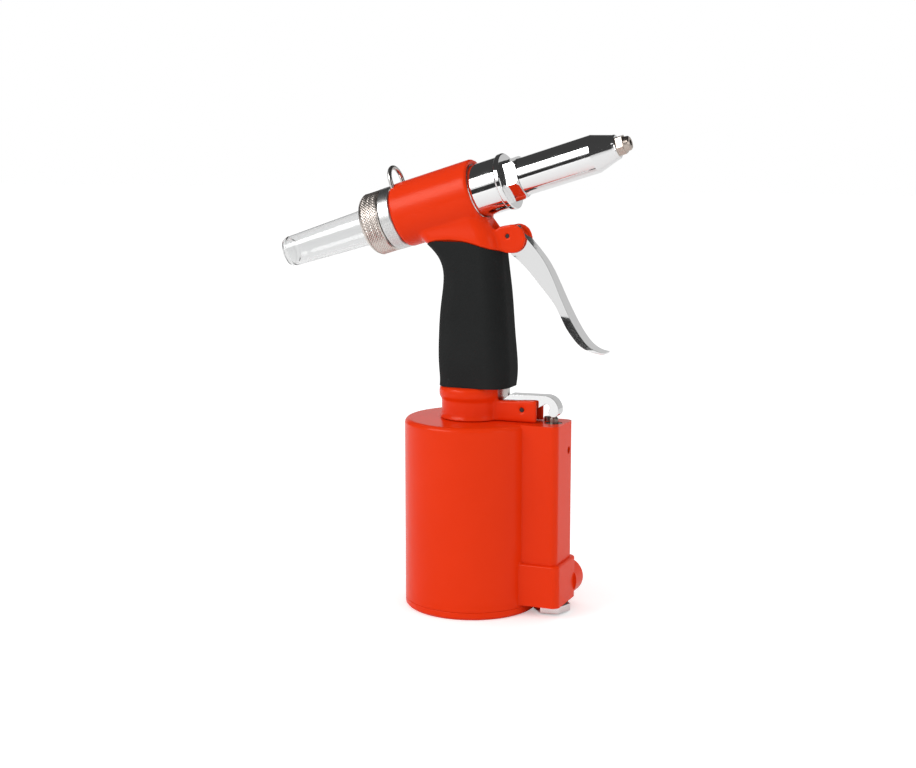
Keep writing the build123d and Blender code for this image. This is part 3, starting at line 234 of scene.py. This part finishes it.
# ---------------------------------------------------------------- shader groups
def make_group(name, inputs, outputs):
    """A shader group with its input and output nodes, from (label, kind, value) and (label, kind) rows."""
    group = bpy.data.node_groups.new(name, "ShaderNodeTree")
    for label, kind, value in inputs:
        socket = group.interface.new_socket(name=label, in_out="INPUT", socket_type=kind)
        if value is not None:
            socket.default_value = value
    for label, kind in outputs:
        group.interface.new_socket(name=label, in_out="OUTPUT", socket_type=kind)
    return group, group.nodes.new("NodeGroupInput"), group.nodes.new("NodeGroupOutput")


def node(tree, kind, **settings):
    """A shader node with its own settings, and its inputs given as name or index to value or socket."""
    made = tree.nodes.new(kind)
    inputs = settings.pop("inputs", {})
    for key, value in settings.items():
        setattr(made, key, value)
    for key, value in inputs.items():
        if isinstance(value, bpy.types.NodeSocket):
            tree.links.new(value, made.inputs[key])
        else:
            made.inputs[key].default_value = value
    return made


def grain_group():
    """Fine irregular grain: a height from a fine noise, and a mask of slow patches."""
    group, given, result = make_group(
        "surface_grain",
        [("Vector", "NodeSocketVector", None), ("Scale", "NodeSocketFloat", 900.0),
         ("Patch Scale", "NodeSocketFloat", 30.0)],
        [("Height", "NodeSocketFloat"), ("Patches", "NodeSocketFloat")])
    fine = node(group, "ShaderNodeTexNoise", inputs={"Vector": given.outputs["Vector"],
                                                     "Scale": given.outputs["Scale"], "Detail": 2.0})
    patches = node(group, "ShaderNodeTexNoise", inputs={"Vector": given.outputs["Vector"],
                                                        "Scale": given.outputs["Patch Scale"], "Detail": 3.0})
    group.links.new(fine.outputs["Fac"], result.inputs["Height"])
    group.links.new(patches.outputs["Fac"], result.inputs["Patches"])
    return group


def marks_group():
    """Wiping smudges: a mask of sparse patches, from a distorted noise."""
    group, given, result = make_group(
        "handling_marks",
        [("Vector", "NodeSocketVector", None), ("Smudge Scale", "NodeSocketFloat", 45.0)],
        [("Smudges", "NodeSocketFloat")])
    smudge = node(group, "ShaderNodeTexNoise", inputs={"Vector": given.outputs["Vector"],
                                                       "Scale": given.outputs["Smudge Scale"], "Detail": 5.0,
                                                       "Distortion": 0.6})
    smudge_range = node(group, "ShaderNodeMapRange",
                        inputs={"Value": smudge.outputs["Fac"], "From Min": 0.45, "From Max": 0.75})
    group.links.new(smudge_range.outputs["Result"], result.inputs["Smudges"])
    return group


def turned_group():
    """Lathe lines: fine bands along the head's axis, which lies along the mapped X."""
    group, given, result = make_group(
        "turned_lines",
        [("Vector", "NodeSocketVector", None), ("Scale", "NodeSocketFloat", 700.0)],
        [("Height", "NodeSocketFloat")])
    flatten = node(group, "ShaderNodeMapping", inputs={"Vector": given.outputs["Vector"]})
    flatten.inputs["Scale"].default_value = (1.0, 0.004, 0.004)
    lines = node(group, "ShaderNodeTexNoise", inputs={"Vector": flatten.outputs["Vector"],
                                                      "Scale": given.outputs["Scale"], "Detail": 3.0,
                                                      "Roughness": 0.7})
    group.links.new(lines.outputs["Fac"], result.inputs["Height"])
    return group


GRAIN = grain_group()
MARKS = marks_group()
TURNED = turned_group()


# ---------------------------------------------------------------- materials
def start_material(name, colour, metallic, roughness, **sockets):
    """A Principled material with its plain values on its own sockets."""
    material = bpy.data.materials.new(name)
    material.use_nodes = True
    tree = material.node_tree
    shader = tree.nodes["Principled BSDF"]
    shader.inputs["Base Color"].default_value = (*colour, 1)
    shader.inputs["Metallic"].default_value = metallic
    shader.inputs["Roughness"].default_value = roughness
    for label, value in sockets.items():
        shader.inputs[label.replace("_", " ")].default_value = value
    place = node(tree, "ShaderNodeTexCoord").outputs["Object"]
    return material, tree, shader, place


def use_group(tree, group, vector, **values):
    """A shader group placed in a material, with its scales given by name."""
    made = tree.nodes.new("ShaderNodeGroup")
    made.node_tree = group
    tree.links.new(vector, made.inputs["Vector"])
    for label, value in values.items():
        made.inputs[label.replace("_", " ")].default_value = value
    return made


def mix_colour(tree, mask, first, second):
    """A mix of two colours; the colour sockets of the Mix node are inputs 6 and 7 and output 2."""
    mix = node(tree, "ShaderNodeMix", data_type="RGBA")
    mix.inputs[6].default_value = (*first, 1)
    mix.inputs[7].default_value = (*second, 1)
    tree.links.new(mask, mix.inputs[0])
    return mix.outputs[2]


def remap(tree, value, low, high, from_low=0.0, from_high=1.0):
    return node(tree, "ShaderNodeMapRange",
                inputs={"Value": value, "From Min": from_low, "From Max": from_high,
                        "To Min": low, "To Max": high}).outputs["Result"]


def bump(tree, shader, height, strength, distance):
    made = node(tree, "ShaderNodeBump", inputs={"Height": height, "Strength": strength, "Distance": distance})
    tree.links.new(made.outputs["Normal"], shader.inputs["Normal"])


def along_head(tree, place):
    """Object coordinates turned so that X runs along the head's axis."""
    angle = math.atan2(ALONG[2], ALONG[0])
    turned = node(tree, "ShaderNodeMapping", vector_type="POINT", inputs={"Vector": place})
    turned.inputs["Rotation"].default_value = (0, angle, 0)
    return turned.outputs["Vector"]


def red_paint():
    """Gloss enamel over a casting: faint orange peel, and slow changes of tone and gloss."""
    material, tree, shader, place = start_material("red_enamel", (0.78, 0.034, 0.003), 0.0, 0.24,
                                                   Specular_IOR_Level=0.14)
    grain = use_group(tree, GRAIN, place, Scale=420.0, Patch_Scale=22.0)
    tone = mix_colour(tree, grain.outputs["Patches"], (0.75, 0.032, 0.002), (0.82, 0.038, 0.004))
    tree.links.new(tone, shader.inputs["Base Color"])
    tree.links.new(remap(tree, grain.outputs["Patches"], 0.19, 0.27), shader.inputs["Roughness"])
    shader.inputs["Specular Tint"].default_value = (1.0, 0.85, 0.70, 1)
    bump(tree, shader, grain.outputs["Height"], 0.06, 0.0002)
    return material


def grip_rubber():
    """Matt rubber with a fine pebbled grain and slow changes of tone."""
    material, tree, shader, place = start_material("grip_rubber", (0.016, 0.017, 0.017), 0.0, 0.72,
                                                   Specular_IOR_Level=0.12)
    cells = node(tree, "ShaderNodeTexVoronoi", inputs={"Vector": place, "Scale": 1100.0})
    grain = use_group(tree, GRAIN, place, Scale=1500.0, Patch_Scale=40.0)
    tone = mix_colour(tree, grain.outputs["Patches"], (0.010, 0.011, 0.011), (0.016, 0.017, 0.017))
    tree.links.new(tone, shader.inputs["Base Color"])
    tree.links.new(remap(tree, grain.outputs["Height"], 0.62, 0.82), shader.inputs["Roughness"])
    bump(tree, shader, cells.outputs["Distance"], 0.35, 0.0003)
    return material


def chrome(name="polished_chrome", roughness=0.05, shade=0.88, smear=0.09):
    """Polished plate: bright and smooth, with faint wiping smudges."""
    material, tree, shader, place = start_material(name, (shade, shade, shade), 1.0, roughness)
    marks = use_group(tree, MARKS, place, Smudge_Scale=60.0)
    tree.links.new(remap(tree, marks.outputs["Smudges"], roughness, roughness + smear),
                   shader.inputs["Roughness"])
    grain = use_group(tree, GRAIN, place, Scale=160.0, Patch_Scale=50.0)
    bump(tree, shader, grain.outputs["Height"], 0.05, 0.0003)
    return material


def turned_metal(name, colour, roughness, line_scale, strength):
    """Bare turned metal: lathe lines round the head's axis and a slightly uneven tone."""
    material, tree, shader, place = start_material(name, colour, 1.0, roughness)
    lines = use_group(tree, TURNED, along_head(tree, place), Scale=line_scale)
    grain = use_group(tree, GRAIN, place, Scale=1200.0, Patch_Scale=90.0)
    darker = tuple(0.86 * value for value in colour)
    tree.links.new(mix_colour(tree, grain.outputs["Patches"], darker, colour), shader.inputs["Base Color"])
    tree.links.new(remap(tree, grain.outputs["Height"], roughness - 0.07, roughness + 0.09),
                   shader.inputs["Roughness"])
    bump(tree, shader, lines.outputs["Height"], strength, 0.0002)
    return material


def satin_alloy():
    """Smooth tumbled alloy with a fine speckle."""
    material, tree, shader, place = start_material("satin_alloy", (0.72, 0.72, 0.71), 1.0, 0.30)
    grain = use_group(tree, GRAIN, place, Scale=2600.0, Patch_Scale=140.0)
    speck = remap(tree, grain.outputs["Height"], 0.0, 1.0, 0.40, 0.62)
    tone = mix_colour(tree, speck, (0.52, 0.52, 0.52), (0.86, 0.86, 0.85))
    tree.links.new(tone, shader.inputs["Base Color"])
    tree.links.new(remap(tree, grain.outputs["Patches"], 0.24, 0.40), shader.inputs["Roughness"])
    bump(tree, shader, grain.outputs["Height"], 0.18, 0.0001)
    return material


def clear_plastic():
    """Clear moulded plastic, very slightly grey, with faint flow waves and smudges."""
    material, tree, shader, place = start_material("clear_plastic", (0.97, 0.975, 0.975), 0.0, 0.04,
                                                   Transmission_Weight=1.0, IOR=1.49)
    marks = use_group(tree, MARKS, place, Smudge_Scale=55.0)
    tree.links.new(remap(tree, marks.outputs["Smudges"], 0.03, 0.14), shader.inputs["Roughness"])
    grain = use_group(tree, GRAIN, place, Scale=120.0, Patch_Scale=30.0)
    bump(tree, shader, grain.outputs["Height"], 0.08, 0.0004)
    return material


def plain_metal(name, colour, roughness):
    """Machined metal for pins, rods and inner pieces, with a light drawn grain."""
    material, tree, shader, place = start_material(name, colour, 1.0, roughness)
    grain = use_group(tree, GRAIN, place, Scale=1400.0, Patch_Scale=80.0)
    tree.links.new(remap(tree, grain.outputs["Patches"], roughness - 0.05, roughness + 0.10),
                   shader.inputs["Roughness"])
    bump(tree, shader, grain.outputs["Height"], 0.12, 0.0001)
    return material


def seal_rubber():
    """Smooth moulded seal rubber."""
    material, tree, shader, place = start_material("seal_rubber", (0.015, 0.015, 0.016), 0.0, 0.5)
    grain = use_group(tree, GRAIN, place, Scale=900.0, Patch_Scale=60.0)
    tree.links.new(remap(tree, grain.outputs["Patches"], 0.42, 0.60), shader.inputs["Roughness"])
    return material


# ---------------------------------------------------------------- pieces
SAME_POINT = 2e-6
FLAT_DEGREES = 0.3
EDGE_DEGREES = 34
CAST_GRID = 0.00072
CAST_MELT = 18
KNURL_TEETH = 66
KNURL_STEPS = 8
KNURL_DEPTH = 0.00055
KNURL_ROWS = 54
RING_SHARP_DEGREES = 30
END_SLICE = 0.0005


def head_stations(name):
    """Stations along the head's axis and radii from it of a CAD node's points, in metres."""
    mesh = nodes[name].data
    points = np.empty(len(mesh.vertices) * 3)
    mesh.vertices.foreach_get("co", points)
    away = points.reshape(-1, 3) - HEAD
    station = away @ ALONG
    radius = np.sqrt((away @ ACROSS) ** 2 + (away @ UP) ** 2)
    return station, radius


def grid_faces(rows, columns):
    """Quads over a grid of points whose rows and columns both close on themselves."""
    row, column = np.meshgrid(np.arange(rows), np.arange(columns), indexing="ij")
    next_row, next_column = (row + 1) % rows, (column + 1) % columns
    corners = (row * columns + column, row * columns + next_column, next_row * columns + next_column,
               next_row * columns + column)
    return np.stack(corners, axis=-1).reshape(-1, 4)


def add_piece(name, points, faces, material, stands_for, sharp_degrees):
    """A piece from points and faces, smooth except where its faces meet at more than an angle."""
    mesh = bpy.data.meshes.new(name)
    mesh.from_pydata(points.tolist(), [], faces.tolist())
    mesh.materials.append(material)
    mesh.shade_smooth()
    mesh.set_sharp_from_angle(angle=math.radians(sharp_degrees))
    piece = bpy.data.objects.new(name, mesh)
    scene.collection.objects.link(piece)
    place_piece(piece, stands_for)


def place_piece(piece, stands_for):
    """The piece stands for a CAD node: it rides on that node's body, and the node is hidden."""
    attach(piece, BODIES[stands_for])
    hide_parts(stands_for)


def merged_copy(name, suffix):
    """A copy of a CAD node whose faces share their corners and whose flat faces are whole."""
    source = nodes[name]
    mesh = source.data.copy()
    mesh.name = name + suffix
    mesh.transform(source.matrix_world)
    work = bmesh.new()
    work.from_mesh(mesh)
    bmesh.ops.remove_doubles(work, verts=work.verts, dist=SAME_POINT)
    bmesh.ops.dissolve_limit(work, angle_limit=math.radians(FLAT_DEGREES), verts=work.verts, edges=work.edges)
    work.to_mesh(mesh)
    work.free()
    if "custom_normal" in mesh.attributes:
        mesh.attributes.remove(mesh.attributes["custom_normal"])
    mesh.shade_smooth()
    piece = bpy.data.objects.new(name + suffix, mesh)
    scene.collection.objects.link(piece)
    return piece


def soft_edges(name, width, material, segments=3):
    """A node whose edges sharper than EDGE_DEGREES are rounded, as polishing or paint leaves them."""
    piece = merged_copy(name, "_finished")
    piece.data.materials.clear()
    piece.data.materials.append(material)
    rounding = piece.modifiers.new("rounding", "BEVEL")
    rounding.width = width
    rounding.segments = segments
    rounding.limit_method = "ANGLE"
    rounding.angle_limit = math.radians(EDGE_DEGREES)
    rounding.harden_normals = False
    rounding.miter_outer = "MITER_ARC"
    normals = piece.modifiers.new("normals", "WEIGHTED_NORMAL")
    normals.keep_sharp = True
    place_piece(piece, name)


def cast_handle(material):
    """The handle casting with every edge and inner corner melted round, as a sand or die casting has them."""
    piece = merged_copy("handle_casting", "_cast")
    piece.data.materials.clear()
    piece.data.materials.append(material)
    grid = piece.modifiers.new("grid", "REMESH")
    grid.mode = "VOXEL"
    grid.voxel_size = CAST_GRID
    grid.use_smooth_shade = True
    melt = piece.modifiers.new("melt", "SMOOTH")
    melt.factor = 0.5
    melt.iterations = CAST_MELT
    place_piece(piece, "handle_casting")


def knurled_ring(material):
    """A turned ring: a closed profile carried round the head's axis. Between two stations its radius is less
    by the groove depth times the larger of two triangle waves, which run from 0 to 1 and back once a tooth
    pitch. One wave's phase grows with the angle plus the station, the other's with the angle minus the
    station, so the grooves cross and leave rows of small pyramids."""
    station, radius = head_stations("bottle_ring")
    rear, front, outer = station.min(), station.max(), radius.max()
    hole = radius[station < rear + END_SLICE].min()
    inner = radius[station > front - END_SLICE].min()
    knurl_rear, knurl_front = rear + 0.0030, front - 0.0012
    margin = 0.0002
    rows = np.linspace(knurl_rear - margin, knurl_front + margin, KNURL_ROWS)
    profile = np.array([(rear, hole), (rear, outer - 0.0034), (rear + 0.0002, outer - 0.0030),
                        (rear + 0.0010, outer - 0.0012), (rear + 0.0020, outer - 0.0005)]
                       + [(row, outer) for row in rows]
                       + [(front - 0.0006, outer - 0.0001), (front - 0.0001, outer - 0.0006),
                          (front, outer - 0.0008), (front, inner),
                          (rear + 0.0026, inner), (rear + 0.0026, hole)])
    turn = np.linspace(0, 2 * math.pi, KNURL_TEETH * KNURL_STEPS, endpoint=False)
    along, angle = np.meshgrid(profile[:, 0], turn, indexing="ij")
    reach = np.repeat(profile[:, 1:2], len(turn), axis=1)
    pitch = 2 * math.pi * outer / KNURL_TEETH
    right = np.abs(((angle * KNURL_TEETH / (2 * math.pi) + along / pitch) % 1.0) * 2 - 1)
    left = np.abs(((angle * KNURL_TEETH / (2 * math.pi) - along / pitch) % 1.0) * 2 - 1)
    within = (along >= knurl_rear) & (along <= knurl_front) & (reach > outer - 0.00001)
    reach = reach - within * KNURL_DEPTH * np.maximum(right, left)
    points = (HEAD + along[..., None] * ALONG + (reach * np.cos(angle))[..., None] * ACROSS
              + (reach * np.sin(angle))[..., None] * UP)
    faces = grid_faces(len(profile), len(turn))
    add_piece("knurled_bottle_ring", points.reshape(-1, 3), faces, material, "bottle_ring",
              RING_SHARP_DEGREES)


def assign(material, *names):
    """Gives CAD nodes that are shown as they are their material."""
    for name in names:
        mesh = nodes[name].data
        mesh.materials.clear()
        mesh.materials.append(material)


def dress():
    """Materials for every node, and finished meshes for the outer pieces."""
    paint = red_paint()
    plate = chrome()
    alloy = satin_alloy()
    assign(grip_rubber(), "grip_sleeve")
    assign(plate, "frame_head")
    assign(turned_metal("nose_steel", (0.58, 0.50, 0.44), 0.26, 900.0, 0.15), "nosepiece")
    assign(clear_plastic(), "collector_bottle")
    assign(plain_metal("zinc_wire", (0.62, 0.60, 0.58), 0.26), "hanger", "pull_rod")
    steel = plain_metal("machined_steel", (0.46, 0.44, 0.42), 0.30)
    assign(steel, "valve_spring", "return_spring", "jaw_spring", "ram_rod", "piston_nut", "jaw_case", "jaws",
           "jaw_pusher", "upper_link_pin", "lower_link_pin", "sleeve_screw",
           "guide_tube", "inlet_strainer", "handle_ring_nut", "head_piston")
    assign(plain_metal("inner_alloy", (0.66, 0.65, 0.63), 0.35), "air_piston")
    assign(plain_metal("turned_brass", (0.72, 0.53, 0.24), 0.28), "valve_sleeve", "ram_gland")
    # A darker steel for the sleeve collar and the valve stem than for the other inner pieces
    assign(plain_metal("darker_steel", (0.30, 0.27, 0.24), 0.36), "sleeve_collar", "valve_stem")
    # Near-black pins: painted shade, standing for the dark holes the pin ends show at the fork and the bracket
    assign(plain_metal("painted_shade_pin_steel", (0.06, 0.05, 0.05), 0.42), "trigger_pin", "rocker_pivot_pin")
    assign(seal_rubber(), "cap_seal", "plug_seal", "ram_seal", "gland_seals", "bottle_seal", "poppet_seal",
           "air_piston_seal", "head_piston_seal")
    cast_handle(paint)
    soft_edges("air_cylinder", 0.0007, paint)
    soft_edges("base_cap", 0.0004, paint)
    soft_edges("trigger", 0.00075, chrome("trigger_chrome", 0.05, 0.88, 0.03), 4)
    # The lever's chrome is darker (0.80) than the other chrome: painted shade for the dim reflections on its
    # cheeks
    soft_edges("rocker_lever", 0.00074, chrome("lever_chrome", 0.06, 0.80, 0.03), 4)
    soft_edges("lock_nut", 0.0003, plate)
    soft_edges("nose_washer", 0.0003, plate)
    soft_edges("front_gland", 0.0003, plate)
    soft_edges("chest_plug", 0.0004, chrome("plug_chrome", 0.14))
    soft_edges("end_cap", 0.0003, alloy)
    knurled_ring(turned_metal("knurled_alloy", (0.78, 0.71, 0.66), 0.28, 700.0, 0.10))


add_camera()
add_studio()
dress()
